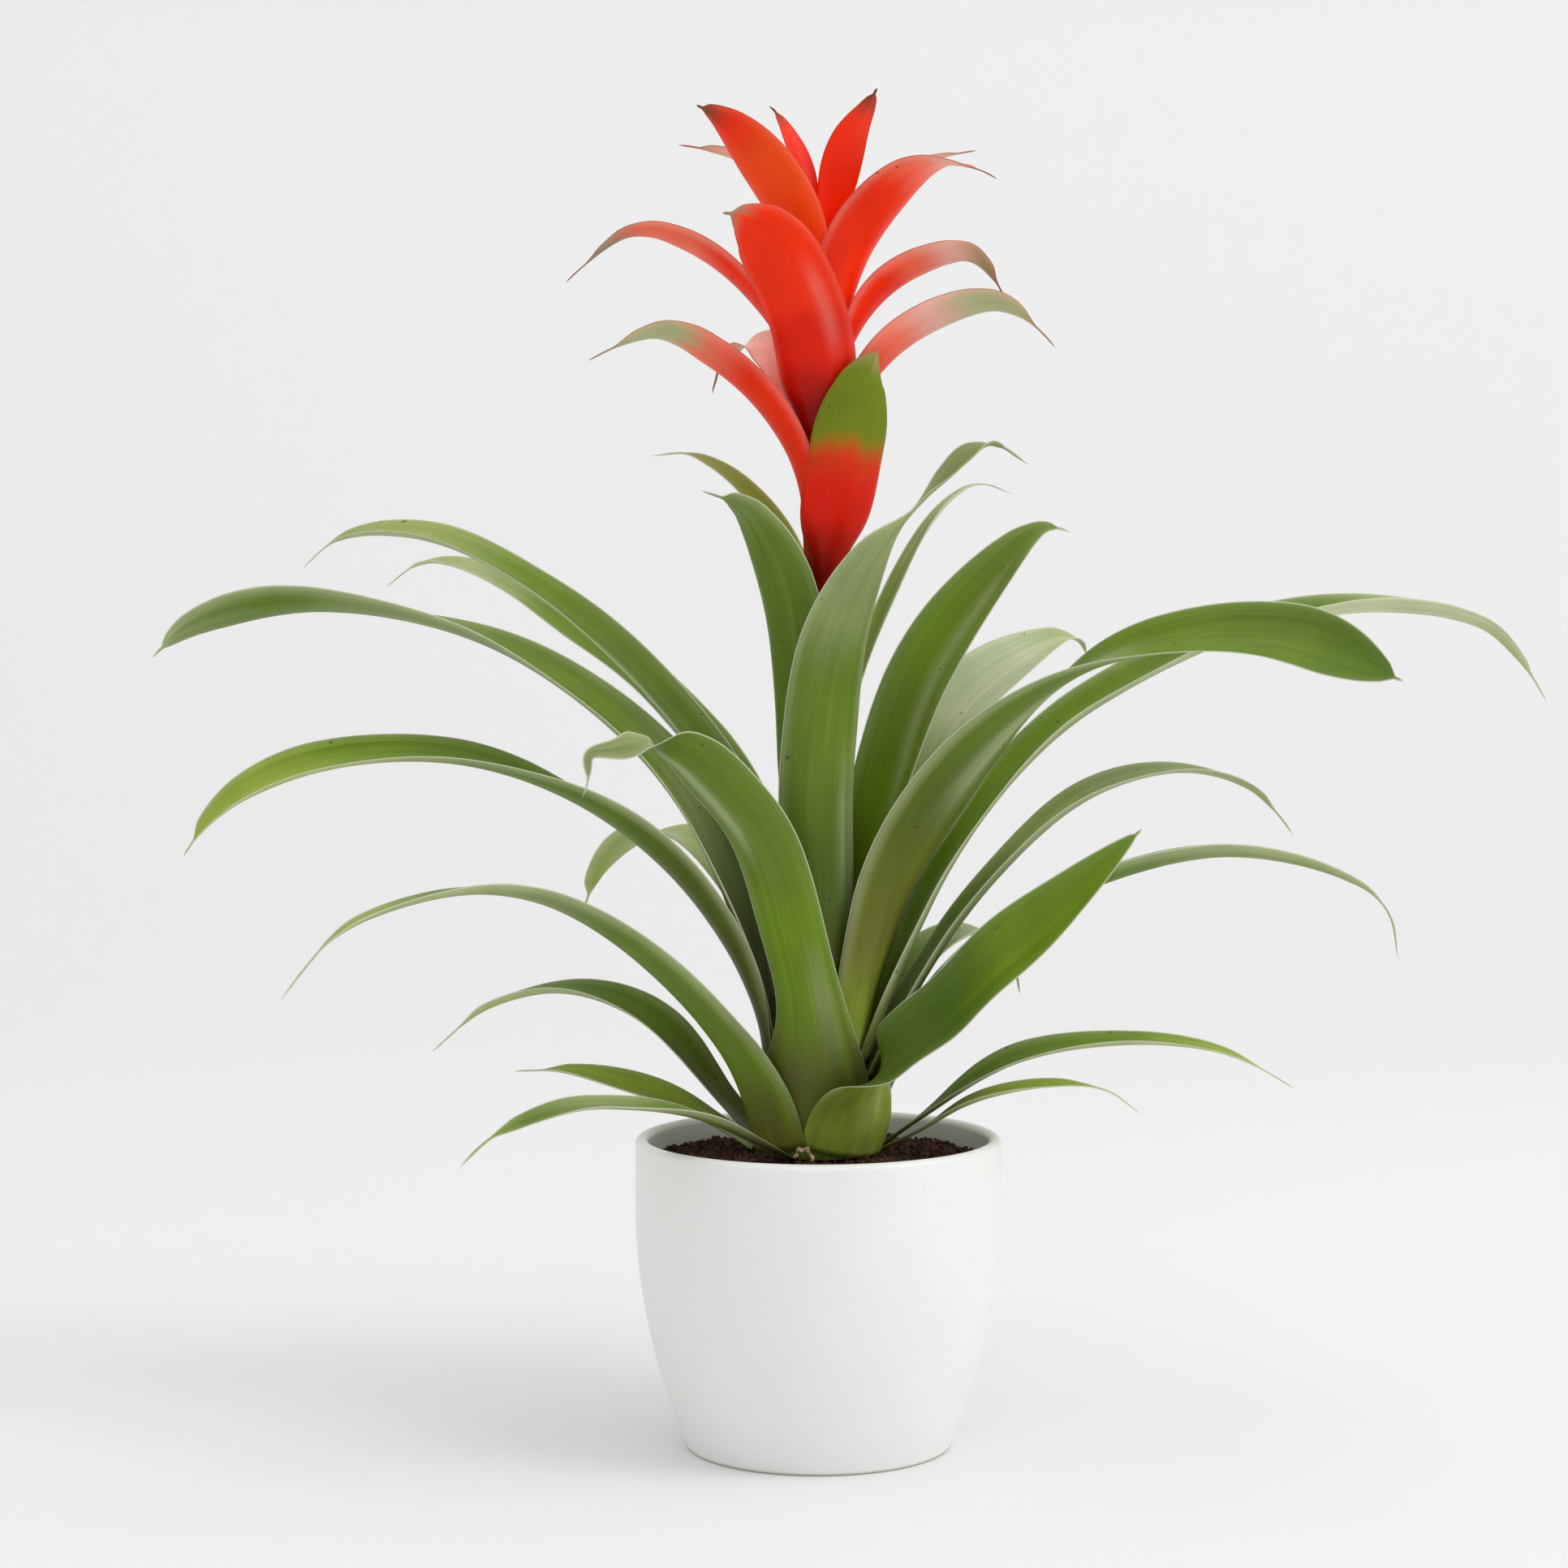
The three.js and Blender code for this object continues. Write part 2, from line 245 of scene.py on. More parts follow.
# ---- Peat ----
# Dark crumbly potting peat, filled to just under the rim and heaped a little round the plant. The bed is
# one closed lump with an uneven top; its crumbs and chips are scattered on it with Geometry Nodes.
PEAT_WALL_LEVEL = 108.5 * MM
PEAT_STEM_LEVEL = 111.7 * MM
PEAT_RISE = 1.3 * MM
PEAT_GAP = 0.3 * MM
PEAT_LUMP = 7 * MM
BED_SEGMENTS, BED_RINGS = 96, 22
BED_CORNER, BED_CORNER_HEIGHT, BED_EDGE = 7 * MM, 6 * MM, 2 * MM
CRUMB_COUNT_PER_M2 = 240000.0
CRUMB_SIZE = 1.4 * MM
CRUMB_INPUTS = {
    "Geometry": "Geometry",
    "Count per square metre": "Float",
    "Crumb size": "Float",
    "Seed": "Int",
}
CRUMB_LEAST, CRUMB_MOST = (0.35, 0.3, 0.25), (2.1, 1.2, 0.9)
CRUMB_ROUGHNESS = 1.6 * CRUMB_SIZE
STOCK_RADIUS = 24 * MM


def lumps(x, y, scale):
    """Smooth uneven ground, from about -1 to 1."""
    return (
        math.sin(x / scale + 1.3) * math.cos(y / scale * 1.17 - 0.4)
        + 0.6 * math.sin(x / scale * 2.3 - y / scale * 1.9 + 2.2)
        + 0.4 * math.cos(x / scale * 4.1 + y / scale * 3.7)
    ) / 2


def peat_level(radius, x, y):
    outer = POT_RADIUS - POT_WALL
    share = min(1.0, max(0.0, (radius - STOCK_RADIUS) / (outer - STOCK_RADIUS)))
    level = PEAT_STEM_LEVEL + (PEAT_WALL_LEVEL - PEAT_STEM_LEVEL) * share
    return level + PEAT_RISE * lumps(x, y, PEAT_LUMP) * min(1.0, radius / STOCK_RADIUS) - PEAT_RISE


def peat_finish():
    finish = Finish("dark_peat")
    clods = finish.noise(finish.place, 380.0, 6.0)
    tones = [(0.3, paint("#2a1710")), (0.55, paint("#4b2c1e")), (0.75, paint("#6d4a33"))]
    fibre = finish.add("TexVoronoi", {"Vector": finish.place, "Scale": 420.0}).outputs["Distance"]
    light = finish.ramp(fibre, [(0.02, grey(1.0)), (0.09, grey(0.0))])
    return finish.surface({
        "Base Color": finish.mix(light, finish.ramp(clods, tones), paint("#83654a")),
        "Roughness": 0.95,
        "Normal": finish.bump(clods, 0.9, 1.2 * MM),
    })


def peat_bed(material):
    """The lump of peat: a flat bottom, sides just clear of the wall, and a top raised to its level."""
    outline = [
        (0, POT_FLOOR + PEAT_GAP),
        (pot_radius(POT_FLOOR) - POT_WALL - BED_CORNER, POT_FLOOR + PEAT_GAP),
        *wall_line(POT_WALL + PEAT_GAP, POT_FLOOR + BED_CORNER_HEIGHT, PEAT_WALL_LEVEL - BED_EDGE, 10),
    ]
    rim = outline[-1][0]
    outline += [(rim * (1 - i / BED_RINGS), PEAT_WALL_LEVEL) for i in range(BED_RINGS)]
    outline.append((0, PEAT_STEM_LEVEL))
    bed = turned("peat_bed", outline, BED_SEGMENTS, material)
    for vertex in bed.data.vertices:
        x, y, z = vertex.co
        if z > PEAT_WALL_LEVEL - MM:
            vertex.co.z = peat_level(math.hypot(x, y), x, y)
    return bed


def crumb_tree(material):
    """Scatters crumbs on the faces that look up, each a small lump of its own size, turn and shape."""
    tree = bpy.data.node_groups.new("peat_crumbs", "GeometryNodeTree")
    for label, kind in CRUMB_INPUTS.items():
        tree.interface.new_socket(label, in_out="INPUT", socket_type=f"NodeSocket{kind}")
    tree.interface.new_socket("Geometry", in_out="OUTPUT", socket_type="NodeSocketGeometry")
    nodes, links = tree.nodes, tree.links
    given = nodes.new("NodeGroupInput").outputs

    def add(kind, inputs, **settings):
        node = nodes.new(kind)
        for setting, value in settings.items():
            setattr(node, setting, value)
        feed(links, node, inputs)
        return node.outputs

    facing = add("GeometryNodeInputNormal", {})
    height = add("ShaderNodeSeparateXYZ", {0: facing[0]})["Z"]
    upward = add("FunctionNodeCompare", {0: height, 1: 0.5}, operation="GREATER_THAN")
    scatter = add("GeometryNodeDistributePointsOnFaces", {
        "Mesh": given["Geometry"],
        "Selection": upward[0],
        "Density": given["Count per square metre"],
        "Seed": given["Seed"],
    })
    crumb = add("GeometryNodeMeshIcoSphere", {"Subdivisions": 1, "Radius": given["Crumb size"]})
    any_turn = {1: (math.tau, math.tau, math.tau), "Seed": given["Seed"]}
    turn = add("FunctionNodeRandomValue", any_turn, data_type="FLOAT_VECTOR")
    any_shape = {0: CRUMB_LEAST, 1: CRUMB_MOST}
    shape = add("FunctionNodeRandomValue", any_shape, data_type="FLOAT_VECTOR")
    stamp = add("GeometryNodeInstanceOnPoints", {
        "Points": scatter["Points"],
        "Instance": crumb["Mesh"],
        "Rotation": turn[0],
        "Scale": shape[0],
    })
    real = add("GeometryNodeRealizeInstances", {0: stamp[0]})
    grain = add("ShaderNodeTexNoise", {"Scale": 900.0})["Color"]
    centred = add("ShaderNodeVectorMath", {0: grain, 1: (0.5, 0.5, 0.5)}, operation="SUBTRACT")
    shift = add("ShaderNodeVectorMath", {0: centred[0], "Scale": CRUMB_ROUGHNESS}, operation="SCALE")
    rough = add("GeometryNodeSetPosition", {"Geometry": real[0], "Offset": shift[0]})
    coat = add("GeometryNodeSetMaterial", {"Geometry": rough[0], "Material": material})
    links.new(coat[0], nodes.new("NodeGroupOutput").inputs[0])
    return tree


def scattered(name, ground, tree, sizes):
    """A plain mesh of what the tree scatters on the ground."""
    carrier = bpy.data.objects.new(f"{name}_carrier", ground.data.copy())
    bpy.context.scene.collection.objects.link(carrier)
    modifier = carrier.modifiers.new("scatter", "NODES")
    modifier.node_group = tree
    sockets = {s.name: s.identifier for s in tree.interface.items_tree if s.in_out == "INPUT"}
    for socket, value in sizes.items():
        modifier[sockets[socket]] = value
    bpy.context.view_layer.update()
    graph = bpy.context.evaluated_depsgraph_get()
    mesh = bpy.data.meshes.new_from_object(carrier.evaluated_get(graph), depsgraph=graph)
    bpy.data.objects.remove(carrier)
    thing = bpy.data.objects.new(name, mesh)
    bpy.context.scene.collection.objects.link(thing)
    return thing


peat = peat_finish()
bed = peat_bed(peat)
crumbs = scattered(
    "peat_crumbs",
    bed,
    crumb_tree(peat),
    {"Count per square metre": CRUMB_COUNT_PER_M2, "Crumb size": CRUMB_SIZE, "Seed": 7},
)
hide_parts("soil")
for piece in (bed, crumbs):
    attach(piece, "root")


# ---- Bark curl ----
# A thin peeling of light brown bark that lies on the peat at the front, curled by drying.
CURL_PLACE = (-6 * MM, -40 * MM, 113.5 * MM)
CURL_RADIUS, CURL_THICKNESS = 3.6 * MM, 1.1 * MM
CURL_WIDTH, CURL_WIDTH_CHANGE = 5.2 * MM, 1.4 * MM
CURL_START, CURL_TURN = -20, 205
CURL_TIGHTENING = 0.35
CURL_CRUMPLE, CURL_FRAY, CURL_CREEP = 0.45 * MM, 0.25 * MM, 0.5 * MM
CURL_STEPS, CURL_ACROSS = 26, 4


def bark_finish():
    finish = Finish("bark")
    grain = finish.noise(finish.place, 700.0, 4.0)
    return finish.surface({
        "Base Color": finish.ramp(grain, [(0.3, paint("#6e5038")), (0.7, paint("#cbb092"))]),
        "Roughness": 0.85,
        "Normal": finish.bump(grain, 0.6, 0.4 * MM),
    })


def outward(thing):
    """Turns a closed mesh's faces outwards."""
    shell = bmesh.new()
    shell.from_mesh(thing.data)
    bmesh.ops.recalc_face_normals(shell, faces=shell.faces)
    shell.to_mesh(thing.data)
    shell.free()


def bark_curl():
    """A strip rolled up with a tightening radius, an uneven width and frayed edges."""
    points, faces = [], []
    for i in range(CURL_STEPS + 1):
        share = i / CURL_STEPS
        turn = math.radians(CURL_START + CURL_TURN * share)
        width = CURL_WIDTH + CURL_WIDTH_CHANGE * math.sin(i * 0.9)
        rolled = CURL_RADIUS * (1 - CURL_TIGHTENING * share) + CURL_CRUMPLE * math.sin(i * 0.8)
        for side in (1, -1):
            radius = rolled + side * CURL_THICKNESS / 2
            for k in range(CURL_ACROSS + 1):
                along = width * (k / CURL_ACROSS - 0.5) + CURL_FRAY * math.sin(i * 1.7 + k)
                points.append((
                    CURL_PLACE[0] + radius * math.cos(turn),
                    CURL_PLACE[1] + along + CURL_CREEP * share,
                    CURL_PLACE[2] + CURL_RADIUS * 0.6 + radius * math.sin(turn),
                ))
    row = 2 * (CURL_ACROSS + 1)
    ring = list(range(CURL_ACROSS + 1)) + list(range(row - 1, CURL_ACROSS, -1))
    for start in range(0, CURL_STEPS * row, row):
        for a, b in zip(ring, ring[1:] + ring[:1]):
            faces.append([start + a, start + b, start + row + b, start + row + a])
    faces.append(ring[::-1])
    faces.append([CURL_STEPS * row + k for k in ring])
    strip = mesh_object("bark_curl", points, faces, bark_finish())
    outward(strip)
    return strip


curl = bark_curl()
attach(curl, "root")

# ---- Stem ----
# The short thick stock that the leaf sheaths grip, tapering into the flower stalk. It is a soft green
# stalk with fine lengthwise fibres, and most of it is hidden by the sheaths.
STEM_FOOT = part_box("stem")[0][2]
STEM_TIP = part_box("stem")[1][2]
# The stock and stalk above the peat: radius and height in millimetres.
STEM_LINE = [(10, 112), (24, 112), (4.5, 212), (2.5, 458)]
STEM_STEPS, STEM_SEGMENTS = 12, 48


def stem_finish():
    finish = Finish("stem_green")
    drawn = finish.add("Mapping", {"Vector": finish.place, "Scale": (900.0, 900.0, 25.0)})
    fibre = finish.noise(drawn.outputs["Vector"], 1.0, 3.0)
    return finish.surface({
        "Base Color": finish.ramp(fibre, [(0.3, paint("#66762b")), (0.7, paint("#8b994a"))]),
        "Roughness": 0.55,
        "Normal": finish.bump(fibre, 0.25, 0.3 * MM),
    })


def stem_outline():
    """The blunt root end in the peat, the stock, and the stalk up to its small tip."""
    line = [(0, STEM_FOOT), (7 * MM, STEM_FOOT), (10 * MM, STEM_FOOT + 8 * MM)]
    for (low_radius, low), (high_radius, high) in zip(STEM_LINE, STEM_LINE[1:]):
        for i in range(STEM_STEPS):
            share = i / STEM_STEPS
            radius = low_radius + (high_radius - low_radius) * share
            line.append((radius * MM, (low + (high - low) * share) * MM))
    top_radius, top = STEM_LINE[-1]
    return [*line, (top_radius * MM, top * MM), (1.4 * MM, STEM_TIP - 1 * MM), (0, STEM_TIP)]


stalk = turned("stalk", stem_outline(), STEM_SEGMENTS, stem_finish())
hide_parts("stem")
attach(stalk, "root")

# ---- Leaves ----
# Each leaf is a thin gutter of living tissue, satin on its upper face and silvery beneath, with fine
# lengthwise veins and a pale translucent edge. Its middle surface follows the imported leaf's rings, which
# are faired into a fine mesh, thinned towards its edges and drawn out into a thread at its tip.
LEAF_TONES = {
    # The deep green is the leaf green darkened: painted shade.
    "deep": "#4f6c1a",
    "leaf": "#657f28",
    "fresh": "#6b8a1a",
    "lime": "#93a83a",
    "olive": "#6f7426",
    "moss": "#596a20",
    "silver": "#8c9a66",
    "frost": "#b6c0a2",
    "pale": "#a3af7c",
    "chalk": "#c4ccaa",
    "sage": "#9cab62",
    "tan": "#a89666",
}
# node: tones of the upper face and of the underside from base to tip, length of the drawn-out thread and
# of the narrowing before it in millimetres, and how far the very tip hangs aside in x, y and z.
LEAF_LOOKS = {
    "leaf_left_low_front": (
        "moss deep leaf silver leaf lime",
        "moss olive moss silver sage lime",
        5, 18, (-3, 0, -3),
    ),
    "leaf_right_low_front": (
        "olive leaf lime lime sage",
        "olive sage lime sage sage",
        8, 22, (3, 0, -4),
    ),
    "leaf_left_low_back": (
        "lime lime lime lime lime tan",
        "lime lime lime lime tan",
        3, 16, (-2, 0, 0),
    ),
    "leaf_right_low": (
        "moss deep leaf fresh lime lime",
        "moss olive silver sage sage lime",
        5, 22, (1, 0, -2),
    ),
    "leaf_left_5": (
        "moss moss leaf leaf fresh lime",
        "moss moss silver silver sage lime",
        5, 22, (-2, 0, -3),
    ),
    "leaf_right_front": (
        "fresh deep deep fresh fresh fresh",
        "lime lime olive sage silver silver",
        1, 5, (0, 0, 0),
    ),
    "leaf_left_4": (
        "moss fresh deep leaf leaf leaf sage tan",
        "olive fresh leaf leaf silver pale sage tan",
        8, 26, (-3, 0, -6),
    ),
    "leaf_back_low_right": (
        "moss leaf leaf leaf fresh",
        "moss silver silver pale sage",
        8, 24, (0, 4, -4),
    ),
    "leaf_front": (
        "fresh leaf leaf leaf leaf leaf silver moss",
        "olive moss fresh fresh fresh leaf leaf leaf leaf moss moss",
        1, 5, (-2, 0, -4),
    ),
    "leaf_back_right_low": (
        "moss leaf leaf silver sage",
        "moss silver silver pale silver",
        3, 12, (0, 0, -4),
    ),
    "leaf_back_low_left": (
        "moss leaf leaf leaf fresh",
        "moss silver silver pale sage",
        8, 24, (0, 4, -4),
    ),
    "leaf_right_4": (
        "moss leaf leaf leaf leaf leaf sage",
        "moss leaf leaf leaf silver silver sage",
        8, 24, (1, 0, -6),
    ),
    "leaf_left_3": (
        "olive moss leaf fresh leaf fresh lime lime",
        "olive moss moss leaf leaf sage sage lime",
        2, 9, (-1, 0, -2),
    ),
    "leaf_right_3": (
        "moss leaf leaf sage silver silver sage",
        "moss silver leaf silver pale pale sage",
        3, 16, (1, 0, -3),
    ),
    "leaf_back_left": (
        "moss leaf sage sage lime",
        "moss silver silver sage lime",
        3, 12, (0, 0, -3),
    ),
    "leaf_left_2": (
        "silver silver silver leaf leaf silver leaf silver",
        "moss silver silver silver silver silver leaf silver",
        1, 6, (-1, 0, -2),
    ),
    "leaf_right_2": (
        "moss fresh fresh fresh leaf leaf pale frost",
        "moss silver silver silver pale chalk frost sage",
        2, 12, (2, 0, -5),
    ),
    "leaf_right_1": (
        "olive moss leaf leaf fresh leaf deep",
        "lime olive moss leaf leaf silver leaf",
        1, 6, (0, 0, 0),
    ),
    "leaf_left_1_under": (
        "moss leaf leaf leaf fresh pale sage",
        "moss silver leaf leaf silver pale sage",
        6, 14, (-3, 0, -3),
    ),
    "leaf_left_1": (
        "moss leaf leaf leaf fresh sage sage",
        "moss moss leaf leaf silver pale sage",
        4, 14, (-3, 0, -5),
    ),
    "leaf_front_upright": (
        "moss deep leaf leaf silver pale silver silver",
        "moss deep deep leaf leaf silver pale silver silver",
        3, 9, (3, 0, -2),
    ),
    "leaf_back_high": (
        "moss leaf leaf leaf fresh",
        "moss silver silver pale sage",
        8, 24, (0, 3, -4),
    ),
    "leaf_back_right": (
        "moss leaf silver frost frost sage",
        "moss leaf silver frost frost fresh",
        1, 6, (1, 0, -3),
    ),
    "leaf_right_upright": (
        "moss fresh fresh leaf fresh leaf leaf",
        "moss leaf silver silver pale pale",
        1, 5, (2, 0, -1),
    ),
    "leaf_front_left_upright": (
        "moss leaf leaf leaf leaf leaf silver",
        "moss deep leaf leaf leaf leaf silver",
        4, 6, (-3, 0, 1),
    ),
    "leaf_back_left_upright": (
        "lime lime lime lime lime pale",
        "lime lime lime lime lime pale",
        5, 12, (-3, 0, 0),
    ),
    "leaf_back_upright": (
        "lime lime lime fresh silver frost",
        "lime lime lime fresh silver frost",
        6, 12, (4, 0, -2),
    ),
}

# What sets a leaf apart from the measures that all leaves share.
#   cup, tip_cup: degrees it is cupped either side of its middle, along it and near its tip
#   shoulder: millimetres in which its base reaches full width
#   heel: millimetres by which its base runs down into the peat
#   breadth: share of the imported width that it has
#   pinch: where a twist narrows it (place and spread as shares of the length, width taken)
#   sway: where its middle line is thrown aside (place, spread, millimetres in x, y and z)
#   bloom_and_highlight: how pale the upper face and the underside are along the edges, part pale margin,
#       part painted highlight
#   painted_sheen: bands of painted highlight (place across from -1 to 1, spread, start and stop along the
#       length, strength)
LEAF_HABITS = {
    "leaf_right_low": {"breadth": 0.78},
    "leaf_right_front": {
        "cup": 26,
        "shoulder": 12,
        "bloom_and_highlight": (0.1, 0.25),
        "painted_sheen": [(0.3, 0.3, 0.0, 0.22, 0.3)],
    },
    "leaf_left_4": {"shoulder": 14},
    "leaf_back_low_right": {"heel": 8},
    "leaf_front": {
        "cup": 44,
        "shoulder": 12,
        "pinch": [(0.86, 0.02, 0.35), (0.95, 0.08, 0.72)],
        "bloom_and_highlight": (0.3, 0.08),
        "painted_sheen": [(0.45, 0.25, 0.1, 0.4, 0.3), (-0.5, 0.2, 0.5, 0.9, 0.6), (0.2, 0.2, 0.88, 1.2, 0.6)],
        "sway": (0.95, 0.03, (-5, 0, 4)),
    },
    "leaf_back_right_low": {"heel": 9},
    "leaf_back_low_left": {"heel": 9},
    "leaf_right_4": {"cup": 70, "tip_cup": 72},
    "leaf_back_left": {"heel": 9},
    "leaf_right_2": {"tip_cup": 56, "bloom_and_highlight": (0.3, 0.95)},
    "leaf_right_1": {
        "cup": 36,
        "shoulder": 8,
        "bloom_and_highlight": (0.1, 0.45),
        "painted_sheen": [(0.15, 0.3, 0.28, 0.7, 0.5), (0.75, 0.14, 0.03, 0.3, 0.6)],
    },
    "leaf_left_1": {"painted_sheen": [(0.5, 0.15, 0.25, 0.6, 0.4)]},
    "leaf_front_upright": {
        "cup": 38,
        "pinch": [(0.8, 0.045, 0.75)],
        "bloom_and_highlight": (0.3, 0.3),
        "painted_sheen": [(0.6, 0.14, 0.1, 0.45, 0.3)],
    },
    "leaf_back_high": {"heel": 9},
    "leaf_right_upright": {"bloom_and_highlight": (0.15, 0.6), "painted_sheen": [(-0.35, 0.2, 0.25, 0.9, 0.25)]},
    "leaf_front_left_upright": {"bloom_and_highlight": (0.2, 0.15)},
}
HUSK_BROWN = "#6a5d3c"
# The measures that every leaf shares, with its cups in degrees.
LEAF_SKIN = {
    "stations": 120,
    "across": 20,
    "cup": 46,
    "tip_cup": 36,
    "sheath_length": 30 * MM,
    "sheath_width": 1.12,
    "overlap": 0.8 * MM,
    "thickness": 0.8 * MM,
    "edge_thickness": 0.3 * MM,
    # The pale edges, part the blade's own pale margin and part painted highlight: tone, width and strength
    # on each face.
    "bloom_and_highlight_tone": "chalk",
    "bloom_and_highlight_width": 5.5 * MM,
    "bloom_and_highlight": (0.2, 0.5),
    "ragged": 0.012,
    "ripple": 0.5 * MM,
    "thread_width": 1.3 * MM,
}
RING_CORNERS = 8
# The stations of a blade stand closer towards its tip, and sway leaves the last of the tip in place.
STATION_BUNCHING = 0.1
THREAD_TAPER = 0.6
TIP_HOLD = 3 * MM
# The cup changes to that of the tip along this share of the length, and no arc closes on itself.
GUTTER_START, GUTTER_RUN = 0.25, 0.6
MOST_WRAP = 5.2
# A blade thins over the last stretch before its tip, and is never thicker than this share of its arc.
TIP_BODY, THINNING_RUN = 0.62, 60 * MM
THICKEST = 0.55
# The edges wave in two lengths, each blade in its own phase, and lie still at the base and the tip.
PHASE_STEP = 1.7
LONG_WAVE, SHORT_WAVE = 21 * MM, 11.7 * MM
STILL_BASE, STILL_RUN, STILL_TIP = 30 * MM, 50 * MM, 40 * MM
# Bands of painted highlight fade in and out over this share of the length.
PAINTED_SHEEN_FADE = 0.15
EDGE_LINE, EDGE_LINE_FADE = 0.6 * MM, 45 * MM
TINY = 1e-6


def packed_rings(node):
    """The middle surface of a packed blade: its rings from base to tip, each four points from the
    clockwise margin to the anticlockwise one, and the point at its tip."""
    shell = bmesh.new()
    shell.from_mesh(frame["nodes"][node].data)
    bmesh.ops.remove_doubles(shell, verts=shell.verts, dist=0.01 * MM)
    tip = max(shell.verts, key=lambda v: len(v.link_edges))
    level, frontier, rings = {tip: 0}, [tip], []
    while frontier:
        reached = {e.other_vert(v) for v in frontier for e in v.link_edges} - level.keys()
        frontier = list(reached)
        level.update((v, len(rings) + 1) for v in frontier)
        if frontier:
            rings.append(frontier)

    def in_order(ring):
        start = ring[0]
        order = [start]
        while len(order) < RING_CORNERS:
            for edge in order[-1].link_edges:
                ahead = edge.other_vert(order[-1])
                on_side = any(level[v] != level[start] for f in edge.link_faces for v in f.verts)
                if level[ahead] == level[start] and on_side and ahead not in order:
                    order.append(ahead)
                    break
        return np.array([v.co[:] for v in order])

    ordered = [in_order(ring) for ring in reversed(rings)]
    turns = [np.roll(np.arange(RING_CORNERS), k)[::way] for k in range(RING_CORNERS) for way in (1, -1)]
    mirror = np.arange(RING_CORNERS)[::-1]

    def first_fit(ring):
        """Pairs the faces across the blade's thickness, inner face first, clockwise margin first."""

        def misfit(turn):
            corners = ring[turn]
            gap = np.sum((corners[:4] - corners[mirror][:4]) ** 2)
            out = np.hypot(corners[:, 0], corners[:, 1])
            sweep = corners[0, 0] * corners[3, 1] - corners[0, 1] * corners[3, 0]
            return gap + (1.0 if np.sum(out[:4] - out[4:]) > 0 else 0.0) + (1.0 if sweep < 0 else 0.0)

        return ring[min(turns, key=misfit)]

    fitted = [first_fit(ordered[0])]
    for ring in ordered[1:]:
        best = min(turns, key=lambda turn: np.sum((ring[turn] - fitted[-1]) ** 2))
        fitted.append(ring[best])
    middle = np.array([(ring[:4] + ring[mirror][:4]) / 2 for ring in fitted])
    point = np.array(tip.co[:])
    shell.free()
    return middle, point


def faired(rows, at, where):
    """Rows of points at the places `at`, faired by cubic curves and read at the places `where`."""
    rows, at = np.asarray(rows), np.asarray(at)
    step = np.diff(at)
    slope = np.diff(rows, axis=0) / step[:, None, None]
    inner = slope[:-1] * step[1:, None, None] + slope[1:] * step[:-1, None, None]
    inner /= (step[:-1] + step[1:])[:, None, None]
    tangent = np.concatenate([slope[:1], inner, slope[-1:]])
    i = np.clip(np.searchsorted(at, where, side="right") - 1, 0, len(step) - 1)
    h = step[i][:, None, None]
    u = (where - at[i])[:, None, None] / h
    return (
        (2 * u**3 - 3 * u**2 + 1) * rows[i]
        + (u**3 - 2 * u**2 + u) * h * tangent[i]
        + (3 * u**2 - 2 * u**3) * rows[i + 1]
        + (u**3 - u**2) * h * tangent[i + 1]
    )


def across_weights(spots):
    """Weights that read a smooth arc through four evenly spaced points at the given spots, -1 to 1."""
    stands = np.array([-1, -1 / 3, 1 / 3, 1])
    weights = np.ones((len(spots), 4))
    for k in range(4):
        for other in range(4):
            if other != k:
                weights[:, k] *= (spots - stands[other]) / (stands[k] - stands[other])
    return weights


def smooth_step(value):
    value = np.clip(value, 0, 1)
    return value * value * (3 - 2 * value)


def hump(value, place, spread):
    """A smooth hump, 1 at the place and gone two spreads away from it."""
    return np.exp(-(((value - place) / spread) ** 2))


def graded(words, tones, share):
    """Linear colours along a blade, from a line of tone names spread evenly from base to tip."""
    stops = np.array([paint(tones[word])[:3] for word in words.split()])
    place = np.clip(share, 0, 1) * (len(stops) - 1)
    low = np.minimum(place.astype(int), len(stops) - 2)
    blend = (place - low + smooth_step(place - low))[:, None] / 2
    return stops[low] * (1 - blend) + stops[low + 1] * blend


def laid_out(node, heel, spots, stations):
    """A fine grid over a packed blade's middle surface, with its stations' places along the blade."""
    rings, point = packed_rings(node)
    if heel:
        back = rings[0] - rings[1]
        down = back * heel * MM / np.linalg.norm(back.mean(axis=0))
        rings = np.concatenate([(rings[0] + down)[None], rings])
    middle = rings[:, 1:3].mean(axis=1)
    stretch = np.linalg.norm(np.diff(np.vstack([middle, point]), axis=0), axis=1)
    at = np.concatenate([[0], np.cumsum(stretch)])
    rows = np.concatenate([rings, np.repeat(point[None, None], 4, axis=1)])
    share = np.linspace(0, 1, stations)
    share = share + STATION_BUNCHING * np.sin(math.pi * share)
    where = share * at[-1]
    grid = np.einsum("sk,nkc->nsc", across_weights(spots), faired(rows, at, where))
    return grid, SimpleNamespace(share=share, where=where, left=at[-1] - where, length=at[-1])


def narrowed(width, line, thread, narrowing, habit, thread_width):
    """The width at each station: the blade narrows into a thread, and a twist pinches some of them."""
    wide = smooth_step((line.left - thread * MM) / (narrowing * MM))
    drawn = thread_width * np.clip(line.left / (thread * MM + TINY), 0, 1) ** THREAD_TAPER
    target = np.maximum(width * wide, np.minimum(width, drawn))
    if "shoulder" in habit:
        widest = np.argmax(width)
        base = width[widest] * (1 - hump(line.where, 0, habit["shoulder"] * MM))
        target = np.where(np.arange(len(width)) < widest, np.maximum(target, base), target)
    for place, spread, loss in habit.get("pinch", []):
        target = target * (1 - loss * hump(line.share, place, spread))
    return target


